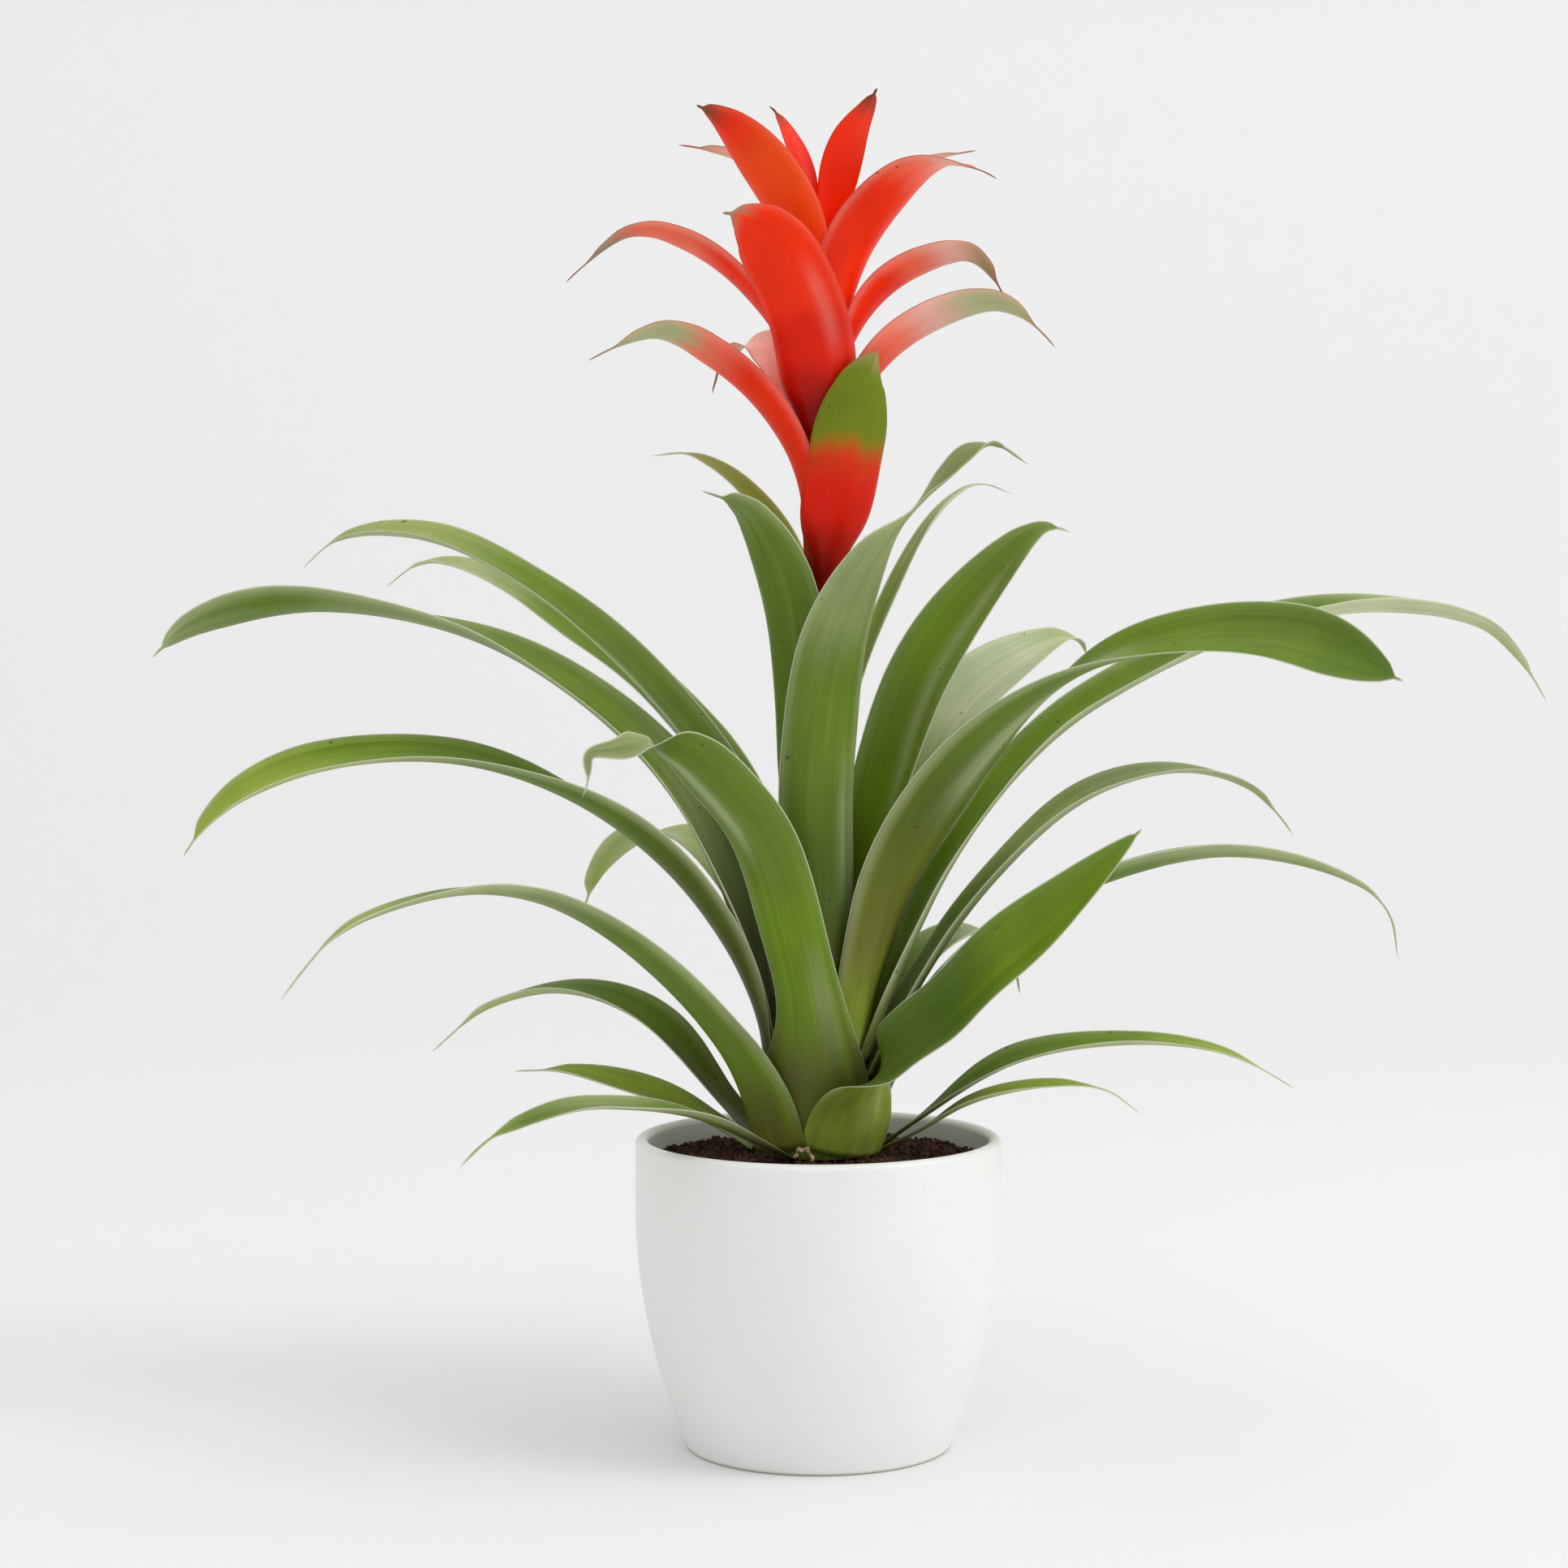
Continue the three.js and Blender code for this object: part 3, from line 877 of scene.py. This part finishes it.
def middle_line(centre, line, thread, narrowing, hook, sway):
    """The blade's middle line, thrown aside where it sways, with the hook at its tip."""
    reach = (thread + narrowing / 2) * MM
    bend = np.clip(1 - line.left / reach, 0, 1) ** 2
    place, spread, shift = sway
    swing = hump(line.share, place, spread) * smooth_step(line.left / TIP_HOLD)
    return centre + bend[:, None] * np.array(hook) * MM + swing[:, None] * np.array(shift) * MM


def guttered(centre, chord, target, base_width, line, spots, habit, skin):
    """Every station as an arc, which grips the stem at the sheath and is a gutter further out."""
    run = np.gradient(centre, axis=0)
    run /= np.linalg.norm(run, axis=1, keepdims=True)
    chord = chord - run * np.sum(chord * run, axis=1, keepdims=True)
    chord /= np.linalg.norm(chord, axis=1, keepdims=True)
    inward = np.cross(run, chord)
    cup, tip_cup = habit.get("cup", skin["cup"]), habit.get("tip_cup", skin["tip_cup"])
    gutter = np.radians(cup + (tip_cup - cup) * smooth_step((line.share - GUTTER_START) / GUTTER_RUN))
    sheath = hump(line.where, 0, skin["sheath_length"])
    free_arc = target * gutter / np.sin(gutter)
    grip = 1 / np.hypot(*centre[0, :2])
    sheath_arc = skin["sheath_width"] * 2 / grip * np.arcsin(min(1.0, base_width * grip / 2))
    arc = free_arc + (sheath_arc - free_arc) * sheath
    bending = (1 - sheath) * 2 * gutter / np.maximum(arc, TINY) + sheath * grip
    bending = np.minimum(bending, MOST_WRAP / np.maximum(arc, TINY))
    angle = spots[None] * (arc * bending / 2)[:, None]
    radius = (1 / bending)[:, None]
    aside = radius * np.sin(angle)
    rise = radius * (1 - np.cos(angle)) - skin["overlap"] * spots[None] * sheath[:, None]
    grid = centre[:, None] + aside[..., None] * chord[:, None] + rise[..., None] * inward[:, None]
    return grid, arc


def upright(grid):
    """The direction that stands off the sheet at every point of its grid."""
    normal = np.cross(np.gradient(grid, axis=0), np.gradient(grid, axis=1))
    normal[-1] = normal[-2]
    return normal / np.maximum(np.linalg.norm(normal, axis=2, keepdims=True), 1e-12)


def ripple(line, spots, phase, height):
    """How far the slightly wavy edges rise and fall, each side of the blade in its own time."""
    side, where = np.sign(spots), line.where[:, None]
    wave = np.sin(where / LONG_WAVE + phase + 1.3 * side)
    wave = wave + 0.6 * np.sin(where / SHORT_WAVE + 2.1 * phase - 0.8 * side)
    free = smooth_step((line.where - STILL_BASE) / STILL_RUN) * smooth_step(line.left / STILL_TIP)
    return height * wave * np.abs(spots) ** 3 * free[:, None]


def half_thickness(line, spots, arc, skin):
    """Half the blade's thickness: fullest at the middle, thinned towards the edges and the tip."""
    edge = skin["edge_thickness"]
    body = skin["thickness"] * (TIP_BODY + (1 - TIP_BODY) * smooth_step(line.left / THINNING_RUN))
    flank = edge + (body[:, None] - edge) * (1 - spots**4)
    return np.minimum(flank, THICKEST * arc[:, None]) / 2


def closed_sheet(name, top, bottom, tip, material):
    """The two faces of a sheet as grids of points, closed along their edges and drawn to one tip."""
    count, wide = top.shape[:2]
    points = np.concatenate([top.reshape(-1, 3), bottom.reshape(-1, 3), tip[None]])
    apex, under = len(points) - 1, count * wide
    faces = []
    for i in range(count - 1):
        for k in range(wide - 1):
            a = i * wide + k
            b = a + under
            faces.append((a, a + 1, a + 1 + wide, a + wide))
            faces.append((b, b + wide, b + 1 + wide, b + 1))
        for k, way in ((0, 1), (wide - 1, -1)):
            a = i * wide + k
            faces.append((a, a + wide, a + wide + under, a + under)[::way])
    last = (count - 1) * wide
    for k in range(wide - 1):
        faces.append((last + k, last + k + 1, apex))
        faces.append((last + under + k + 1, last + under + k, apex))
        faces.append((k + 1, k, k + under, k + 1 + under))
    faces.append((last, apex, last + under))
    faces.append((last + wide - 1, last + under + wide - 1, apex))
    sheet = mesh_object(name, points, faces, material)
    outward(sheet)
    return sheet


def painted_sheen(line, spots, bands):
    """How strongly each point is painted pale in the blade's bands of painted highlight."""
    share = line.share[:-1]
    painted_highlight = np.zeros((len(share), len(spots)))
    for spot, spread, start, stop, strength in bands:
        ends = smooth_step((share - start) / PAINTED_SHEEN_FADE) * smooth_step((stop - share) / PAINTED_SHEEN_FADE)
        painted_highlight = np.maximum(painted_highlight, strength * ends[:, None] * hump(spots, spot, spread)[None])
    return painted_highlight.ravel()


def tone_blade(leaf, upper, under, line, spots, arc, broadest, seed, habit, tones, skin):
    """Keeps on the mesh what its material reads: tone, place on the flat blade, rim and underside."""
    share, where, across = line.share[:-1], line.where[:-1], len(spots)
    rim = ((1 - np.abs(spots))[None] * arc[:-1, None] / 2).ravel()
    # The pale of the edges and bands: part the blade's own margin, part painted highlight.
    bloom_and_highlight = np.array(paint(tones[skin["bloom_and_highlight_tone"]])[:3])
    # One tone runs into the next along a ragged front, not straight across the blade.
    phase = seed * PHASE_STEP
    ragged = np.sin(spots * 4.1 + phase) + 0.6 * np.sin(spots * 9.7 + 2 * phase)
    tone_share = (share[:, None] + skin["ragged"] * ragged[None]).ravel()
    free = np.repeat(smooth_step(share * 6), across)
    # Pale bands painted into the tone as highlights.
    painted_highlight = painted_sheen(line, spots, habit.get("painted_sheen", []))

    def bloomed_and_highlighted(words, amount):
        """One face's tones, paler at both edges (pale margin and painted highlight) and along its painted
        highlight bands.
        """
        tone = graded(words, tones, tone_share)
        pale = amount * free * smooth_step(1 - rim / skin["bloom_and_highlight_width"])
        pale = np.maximum(pale, painted_highlight)[:, None]
        return tone * (1 - pale) + bloom_and_highlight * pale

    def keep(label, kind, field, values):
        leaf.data.attributes.new(label, kind, "POINT").data.foreach_set(field, np.ravel(values))

    upper_bloom_and_highlight, under_bloom_and_highlight = habit.get("bloom_and_highlight", skin["bloom_and_highlight"])
    tip_tone = graded(under, tones, line.share[-1:])
    shade = np.concatenate([bloomed_and_highlighted(upper, upper_bloom_and_highlight), bloomed_and_highlighted(under, under_bloom_and_highlight), tip_tone])
    keep("tone", "FLOAT_COLOR", "color", np.hstack([shade, np.ones((len(shade), 1))]))
    flat = np.stack(np.meshgrid(spots * broadest, where), axis=-1).reshape(-1, 2)
    flat = np.concatenate([flat, flat, [[0, line.length]]])
    keep("blade", "FLOAT_VECTOR", "vector", np.hstack([flat, np.full((len(flat), 1), seed * 0.37)]))
    # The pale edge line fades out on the sheath, where the blade grips its neighbours.
    hem = rim + np.repeat(EDGE_LINE * hump(where, 0, EDGE_LINE_FADE), across)
    keep("rim", "FLOAT", "value", np.concatenate([hem, hem, [0]]))
    keep("beneath", "FLOAT", "value", np.concatenate([np.zeros(len(rim)), np.ones(len(rim)), [1]]))


def blade(name, node, seed, look, habit, tones, skin, material):
    """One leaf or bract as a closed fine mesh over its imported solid's middle surface."""
    upper, under, thread, narrowing, hook = look
    spots = np.linspace(-1, 1, skin["across"] + 1)
    middle = len(spots) // 2
    grid, line = laid_out(node, habit.get("heel", 0), spots, skin["stations"])
    chord = grid[:, -1] - grid[:, 0]
    width = np.linalg.norm(chord, axis=1) * habit.get("breadth", 1)
    chord[-1] = chord[-2]
    target = narrowed(width, line, thread, narrowing, habit, skin["thread_width"])
    sway = habit.get("sway", (0, 1, (0, 0, 0)))
    centre = middle_line(grid[:, middle], line, thread, narrowing, hook, sway)
    grid, arc = guttered(centre, chord, target, width[0], line, spots, habit, skin)
    normal = upright(grid)
    grid = grid + normal * ripple(line, spots, seed * PHASE_STEP, skin["ripple"])[:, :, None]
    half = half_thickness(line, spots, arc, skin)[:, :, None] * normal
    top, bottom = grid[:-1] + half[:-1], grid[:-1] - half[:-1]
    leaf = closed_sheet(name, top, bottom, grid[-1, middle], material)
    tone_blade(leaf, upper, under, line, spots, arc, width.max() / 2, seed, habit, tones, skin)
    return leaf


def blade_finish(name, rim_colour, rim_width, rim_strength, speck_colour, roughness, vein, glow, husk):
    """Satin living tissue: fine and broad lengthwise veins, a thin edge line and a few small specks."""
    finish = Finish(name)
    tone = finish.add("Attribute", attribute_name="tone").outputs["Color"]
    sheet = finish.add("Attribute", attribute_name="blade").outputs["Vector"]
    rim = finish.add("Attribute", attribute_name="rim").outputs["Fac"]
    beneath = finish.add("Attribute", attribute_name="beneath").outputs["Fac"]

    def streaks(pitch, run, detail):
        drawn = finish.add("Mapping", {"Vector": sheet, "Scale": (1 / pitch, 1 / run, 10.0)})
        return finish.noise(drawn.outputs["Vector"], 1.0, detail)

    def mottled(colour, share, pattern, dark, light):
        """The colour made darker and lighter by turns, as the pattern goes."""
        tint = finish.ramp(pattern, [(0.3, (*dark, 1.0)), (0.7, (*light, 1.0))])
        return finish.mix(share, colour, tint, "MULTIPLY")

    fine = streaks(0.7 * MM, 90 * MM, 2.0)
    broad = streaks(3.2 * MM, 160 * MM, 3.0)
    cloud = finish.noise(finish.place, 45.0, 3.0)
    colour = mottled(tone, vein, fine, (0.86, 0.88, 0.82), (1.14, 1.12, 1.1))
    colour = mottled(colour, vein, broad, (0.84, 0.87, 0.8), (1.16, 1.13, 1.08))
    colour = mottled(colour, 1.0, cloud, (0.9, 0.92, 0.88), (1.08, 1.06, 1.04))
    # Brown husky streaks low on the sheaths.
    along = finish.add("SeparateXYZ", {"Vector": sheet}).outputs["Y"]
    low = finish.remap(along, (10 * MM, 75 * MM), (husk, 0.0))
    patch = finish.ramp(streaks(7 * MM, 30 * MM, 3.0), [(0.38, grey(0.0)), (0.62, grey(1.0))])
    colour = finish.mix(finish.mix(1.0, patch, low, "MULTIPLY"), colour, paint(HUSK_BROWN))
    speck = finish.ramp(finish.noise(finish.place, 340.0, 0.0), [(0.85, grey(0.0)), (0.88, grey(0.7))])
    colour = finish.mix(speck, colour, paint(speck_colour))
    edge = finish.remap(rim, (rim_width * 0.4, rim_width), (rim_strength, 0.0))
    uneven = finish.remap(broad, (0, 1), (roughness - 0.06, roughness + 0.1))
    duller = finish.add("Math", {0: beneath, 1: 0.08, 2: uneven}, operation="MULTIPLY_ADD")
    small = finish.bump(fine, 0.35, 0.2 * MM)
    return finish.surface({
        "Base Color": finish.mix(edge, colour, paint(rim_colour)),
        "Roughness": duller.outputs["Value"],
        "Normal": finish.bump(broad, 0.3, 0.6 * MM, Normal=small),
        "Specular IOR Level": 0.16,
        "Subsurface Weight": glow,
        "Subsurface Radius": (0.8, 1.0, 0.3),
        "Subsurface Scale": 1.5 * MM,
    })


leaf_skin = blade_finish(
    "leaf_green",
    rim_colour="#d5dbc2",
    rim_width=0.6 * MM,
    rim_strength=0.7,
    speck_colour="#3a2c1c",
    roughness=0.36,
    vein=0.75,
    glow=0.1,
    husk=0.6,
)
for seed, (node, look) in enumerate(LEAF_LOOKS.items()):
    habit = LEAF_HABITS.get(node, {})
    green_leaf = blade(f"green_{node}", node, seed, look, habit, LEAF_TONES, LEAF_SKIN, leaf_skin)
    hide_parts(node)
    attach(green_leaf, "root")

# ---- Bracts ----
# The coloured leaves of the flower spike: the same thin blades as the leaves, but orange-red, deeper at
# the base, paler beneath, with dark drying tips and a thin brown edge.
BRACT_TONES = {
    "flame": "#fa3002",
    "ember": "#ff5008",
    "scarlet": "#e41e02",
    "ruby": "#8e0a02",
    "crimson": "#ba1402",
    "brick": "#dc360c",
    "coral": "#ff735c",
    "blush": "#f6b8ae",
    "cream": "#eadccb",
    "sage": "#bcbf92",
    "grass": "#748218",
    "rust": "#b04a14",
    "grey": "#8b8d70",
    "bark": "#54412f",
    "tan": LEAF_TONES["tan"],
    "moss": LEAF_TONES["moss"],
}
BRACT_LOOKS = {
    "bract_1_green_tipped": (
        "ruby scarlet flame flame flame grass grass tan",
        "ruby ruby crimson scarlet scarlet brick grass grass grass tan",
        0, 3, (0, 0, 0),
    ),
    "bract_2": (
        "scarlet scarlet flame flame coral coral sage grey",
        "ruby scarlet flame flame flame flame coral sage sage grey",
        4, 14, (-2, 0, -2),
    ),
    "bract_3": (
        "coral coral blush blush blush blush moss",
        "coral blush blush cream blush blush blush blush blush moss",
        3, 12, (-2, 0, -8),
    ),
    "bract_4": (
        "scarlet flame flame coral coral sage sage grey",
        "scarlet flame flame flame coral blush sage sage grey",
        4, 16, (1, 0, -3),
    ),
    "bract_5": (
        "ruby ruby scarlet flame flame ember flame flame grey",
        "ruby ruby ruby crimson scarlet scarlet flame flame flame flame grey",
        1, 4, (-1, 0, 0),
    ),
    "bract_back": (
        "ruby scarlet flame flame bark",
        "scarlet coral coral flame bark",
        3, 10, (0, 0, -2),
    ),
    "bract_6": (
        "scarlet flame flame coral coral coral grey bark",
        "scarlet flame flame flame flame coral coral grey bark",
        3, 14, (-1, 0, -2),
    ),
    "bract_7": (
        "scarlet ember ember flame flame coral tan bark",
        "scarlet flame flame flame flame coral blush tan bark",
        2, 10, (0, 0, -3),
    ),
    "bract_8": (
        "rust scarlet flame flame flame flame coral bark",
        "rust scarlet flame flame flame flame coral blush grey",
        3, 12, (2, 0, -3),
    ),
    "bract_9": (
        "scarlet flame ember ember ember flame bark",
        "scarlet flame ember ember ember ember flame bark",
        1, 4, (0, 0, 0),
    ),
    "bract_10": (
        "coral coral coral coral grey",
        "coral coral coral coral blush grey",
        3, 10, (-2, 0, 0),
    ),
    "bract_11": (
        "flame flame coral coral grey",
        "coral coral coral coral blush grey",
        3, 10, (2, 0, 0),
    ),
    "bract_12": (
        "ruby scarlet flame flame flame bark",
        "ruby scarlet scarlet flame flame flame scarlet bark",
        1, 4, (0, 0, 0),
    ),
    "bract_13": (
        "ruby scarlet scarlet scarlet flame bark",
        "ruby scarlet scarlet scarlet flame bark",
        1, 5, (-1, 0, 0),
    ),
}
# As for the leaves: the pale edges are part margin and part painted highlight, and the pale bands are
# painted highlight.
BRACT_HABITS = {
    "bract_1_green_tipped": {"shoulder": 12, "bloom_and_highlight": (0.0, 0.0)},
    "bract_2": {"bloom_and_highlight": (0.2, 0.25)},
    "bract_3": {"pinch": [(0.9, 0.08, 0.55)], "sway": (0.84, 0.1, (2, 0, -5))},
    "bract_4": {"bloom_and_highlight": (0.2, 0.4)},
    "bract_5": {
        "shoulder": 16,
        "bloom_and_highlight": (0.0, 0.1),
        # A band of painted highlight along the blade.
        "painted_sheen": [(0.5, 0.16, 0.35, 0.75, 0.22)],
    },
    "bract_6": {"bloom_and_highlight": (0.2, 0.4)},
    "bract_8": {"bloom_and_highlight": (0.0, 0.3)},
    "bract_9": {"bloom_and_highlight": (0.0, 0.1)},
    "bract_12": {"bloom_and_highlight": (0.0, 0.1)},
    "bract_13": {"bloom_and_highlight": (0.0, 0.0)},
}
BRACT_SKIN = {
    "stations": 90,
    "across": 18,
    "cup": 44,
    "tip_cup": 24,
    "sheath_length": 20 * MM,
    "sheath_width": 1.05,
    "overlap": 0.5 * MM,
    "thickness": 0.7 * MM,
    "edge_thickness": 0.28 * MM,
    # The pale edges, part the blade's own pale margin and part painted highlight: tone, width and strength
    # on each face.
    "bloom_and_highlight_tone": "blush",
    "bloom_and_highlight_width": 4 * MM,
    "bloom_and_highlight": (0.0, 0.35),
    "ragged": 0.014,
    "ripple": 0.4 * MM,
    "thread_width": 1.2 * MM,
}

bract_skin = blade_finish(
    "bract_red",
    rim_colour="#9a4428",
    rim_width=0.4 * MM,
    rim_strength=0.5,
    speck_colour="#6a1a10",
    roughness=0.34,
    vein=0.18,
    glow=0.08,
    husk=0.0,
)
for seed, (node, look) in enumerate(BRACT_LOOKS.items(), start=40):
    habit = BRACT_HABITS.get(node, {})
    red_bract = blade(f"red_{node}", node, seed, look, habit, BRACT_TONES, BRACT_SKIN, bract_skin)
    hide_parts(node)
    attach(red_bract, "root")

# ---- Studio ----
# A pale seamless sweep under soft daylight from above and a broad soft box at the right, and a
# long-lens camera level with the leaves.
SWEEP_FRONT, SWEEP_BACK, SWEEP_WIDTH, SWEEP_HEIGHT, SWEEP_BEND = -3.0, 2.2, 4.0, 4.0, 1.0
# The paper's tone on the floor and high on the wall; the rise in brightness up the wall is painted light.
SWEEP_LOW, SWEEP_HIGH = "#ececec", "#ffffff"
SWEEP_STEPS = 16
SKY_BRIGHT_SIDE = (0.3, 0.35, 0.89)
SKY_BRIGHT, SKY_DARK, SKY_EDGE = 1.15, 0.25, 0.9
CAMERA_DISTANCE = 1.3
CAMERA_HEIGHT = 0.32
SENSOR = 36.0
LENS = 78.04
SHIFT = (-0.022, -0.1134)


def sweep():
    """A paper sweep: a long floor that bends up into a back wall, painted brighter upwards as painted
    light.
    """
    finish = Finish("paper_sweep")
    height = finish.add("SeparateXYZ", {"Vector": finish.place}).outputs["Z"]
    # Painted light: the paper is painted brighter from the floor up to the top of the wall.
    paper_and_painted_light = finish.ramp(height, [(0.0, paint(SWEEP_LOW)), (0.9, paint(SWEEP_HIGH))])
    material = finish.surface({"Base Color": paper_and_painted_light, "Roughness": 0.9})
    profile = [(SWEEP_FRONT, 0.0), (SWEEP_BACK - SWEEP_BEND, 0.0)]
    for i in range(1, SWEEP_STEPS + 1):
        turn = math.pi / 2 * i / SWEEP_STEPS
        profile.append((
            SWEEP_BACK - SWEEP_BEND + SWEEP_BEND * math.sin(turn),
            SWEEP_BEND - SWEEP_BEND * math.cos(turn),
        ))
    profile.append((SWEEP_BACK, SWEEP_HEIGHT))
    points = [(side * SWEEP_WIDTH, y, z) for y, z in profile for side in (-1, 1)]
    faces = [(2 * i, 2 * i + 1, 2 * i + 3, 2 * i + 2) for i in range(len(profile) - 1)]
    return mesh_object("sweep", points, faces, material)


def soft_box(name, place, aim, size, power):
    """A round soft light, turned to shine on the point it is aimed at."""
    light = bpy.data.lights.new(name, "AREA")
    light.shape = "DISK"
    light.size = size
    light.energy = power
    lamp = bpy.data.objects.new(name, light)
    bpy.context.scene.collection.objects.link(lamp)
    lamp.location = place
    toward = Vector(aim) - lamp.location
    lamp.rotation_euler = toward.to_track_quat("-Z", "Y").to_euler()
    return lamp


def daylight():
    """Soft light from all round, brightest from above."""
    world = bpy.data.worlds.new("daylight")
    world.use_nodes = True
    nodes, links = world.node_tree.nodes, world.node_tree.links
    direction = nodes.new("ShaderNodeTexCoord").outputs["Generated"]
    toward = nodes.new("ShaderNodeVectorMath")
    toward.operation = "DOT_PRODUCT"
    feed(links, toward, {0: direction, 1: SKY_BRIGHT_SIDE})
    level = nodes.new("ShaderNodeMapRange")
    level.interpolation_type = "SMOOTHSTEP"
    ends = {"From Min": -SKY_EDGE, "From Max": SKY_EDGE, "To Min": SKY_DARK, "To Max": SKY_BRIGHT}
    feed(links, level, {"Value": toward.outputs["Value"], **ends})
    feed(links, nodes["Background"], {"Color": grey(1.0), "Strength": level.outputs["Result"]})
    return world


sweep()
soft_box("soft_box_right", place=(1.5, -0.7, 1.9), aim=(0, 0, 0.25), size=1.1, power=12.0)
bpy.context.scene.world = daylight()
bpy.context.scene.view_settings.view_transform = "Standard"

lens = bpy.data.cameras.new("camera")
lens.sensor_width = SENSOR
lens.lens = LENS
lens.shift_x, lens.shift_y = SHIFT
camera = bpy.data.objects.new("camera", lens)
bpy.context.scene.collection.objects.link(camera)
camera.location = (0.0, -CAMERA_DISTANCE, CAMERA_HEIGHT)
camera.rotation_euler = (math.pi / 2, 0.0, 0.0)
bpy.context.scene.camera = camera
